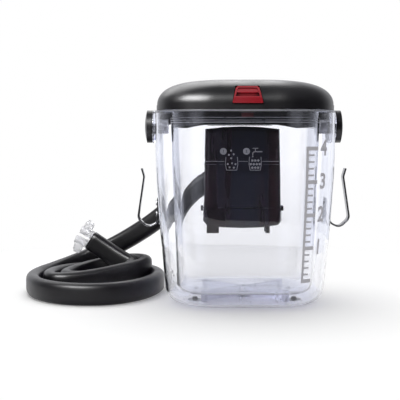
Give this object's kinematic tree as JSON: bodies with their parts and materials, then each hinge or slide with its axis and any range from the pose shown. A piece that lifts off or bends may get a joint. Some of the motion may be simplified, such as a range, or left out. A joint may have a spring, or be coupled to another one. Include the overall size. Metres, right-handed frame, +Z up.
{
  "type": "hot cold therapy machine",
  "caption": "Tabletop water therapy machine: clear double-walled tub with a pump inside, domed lid with a red push latch, folding bail handle, side cord hooks and a coiled flat hose.",
  "frame": {"origin": "on the ground under the middle of the tub, on the face of the middle rubber foot", "axes": "+Z up, -Y towards the front with the red latch, the hose leaves at the back (+Y) and lies on the -X side"},
  "size_m": [0.4238, 0.3048, 0.2775],
  "materials": {
    "clear_plastic": "clear gloss",
    "frosted_plastic": "frosted",
    "satin_black": "satin",
    "grip_black": "fine matte",
    "grey_plastic": "fine matte",
    "red_plastic": "gloss",
    "black_plastic": "gloss",
    "dark_steel": "polished, dark",
    "hose_black": "satin",
    "milky_plastic": "milky",
    "steel": "polished",
    "motor_steel": "drawn",
    "bronze": "plain",
    "rubber": "matte",
    "foam": "foam",
    "board_green": "board",
    "wire_grey": "insulation"
  },
  "bodies": {
    "tub": {"base_screws": "steel", "base_spacer": "frosted_plastic", "board_stands": "board_green", "control_board": "board_green", "coupling_lower": "milky_plastic", "coupling_upper": "milky_plastic", "hinge_bracket": "black_plastic", "hinge_pin": "steel", "hinge_screws": "steel", "hook_screws": "steel", "hose_boot": "hose_black", "hose_coil": "hose_black", "hose_port": "black_plastic", "hose_run": "hose_black", "hose_tail": "hose_black", "inner_tub": "clear_plastic", "intake_screen": "black_plastic", "motor_can": "motor_steel", "outer_shell": "clear_plastic", "pivot_bosses": "frosted_plastic", "pivot_pins": "steel", "pivot_plates": "clear_plastic", "port_nut": "black_plastic", "port_seal": "rubber", "power_inlet": "black_plastic", "power_lead": "wire_grey", "pump_base": "black_plastic", "pump_bracket": "black_plastic", "pump_clips": "black_plastic", "pump_housing": "black_plastic", "pump_leads": "wire_grey", "pump_pegs": "black_plastic", "pump_screws": "steel", "return_tube": "milky_plastic", "rubber_feet": "rubber", "shaft_bearing": "bronze", "shaft_seal": "rubber", "side_hook_left": "dark_steel", "side_hook_right": "dark_steel", "strike_plate": "grey_plastic", "supply_tube": "milky_plastic", "tube_stubs": "milky_plastic", "volute_cover": "black_plastic"},
    "lid": {"lid_shell": "satin_black", "lid_pan": "grey_plastic", "lid_foam": "foam", "lid_gasket": "rubber", "lid_screws": "steel", "latch_guide": "grey_plastic", "latch_spring": "steel"},
    "latch": {"latch_button": "red_plastic", "latch_hook": "red_plastic"},
    "handle": {"handle_bail": "satin_black", "handle_grip": "grip_black", "handle_caps": "satin_black"},
    "rotor": {"motor_shaft": "steel", "impeller": "milky_plastic"},
    "release_upper": {"coupling_release_upper": "milky_plastic"},
    "release_lower": {"coupling_release_lower": "milky_plastic"}
  },
  "joints": [
    {"name": "lid_hinge", "type": "hinge", "parent": "tub", "child": "lid", "pos_m": [0, 0.1105, 0.2442], "axis": [-1, 0, 0], "range_deg": [0, 75]},
    {"name": "button_press", "type": "slide", "parent": "lid", "child": "latch", "axis": [0, 1, 0], "range_m": [0, 0.0035], "stiffness_N_per_m": 400, "springref_m": -0.002, "deforming": ["latch_spring"]},
    {"name": "handle_swing", "type": "hinge", "parent": "tub", "child": "handle", "pos_m": [0, 0, 0.221], "axis": [1, 0, 0], "range_deg": [0, 166]},
    {"name": "impeller_spin", "type": "hinge", "parent": "tub", "child": "rotor", "pos_m": [0, 0.057, 0.1], "axis": [0, 0, 1], "continuous": true},
    {"name": "coupling_release_upper", "type": "slide", "parent": "tub", "child": "release_upper", "axis": [-0.4613, 0.0839, -0.8833], "range_m": [0, 0.0013], "stiffness_N_per_m": 500, "springref_m": -0.001},
    {"name": "coupling_release_lower", "type": "slide", "parent": "tub", "child": "release_lower", "axis": [0.3996, -0.0726, 0.9138], "range_m": [0, 0.0013], "stiffness_N_per_m": 500, "springref_m": -0.001}
  ]
}
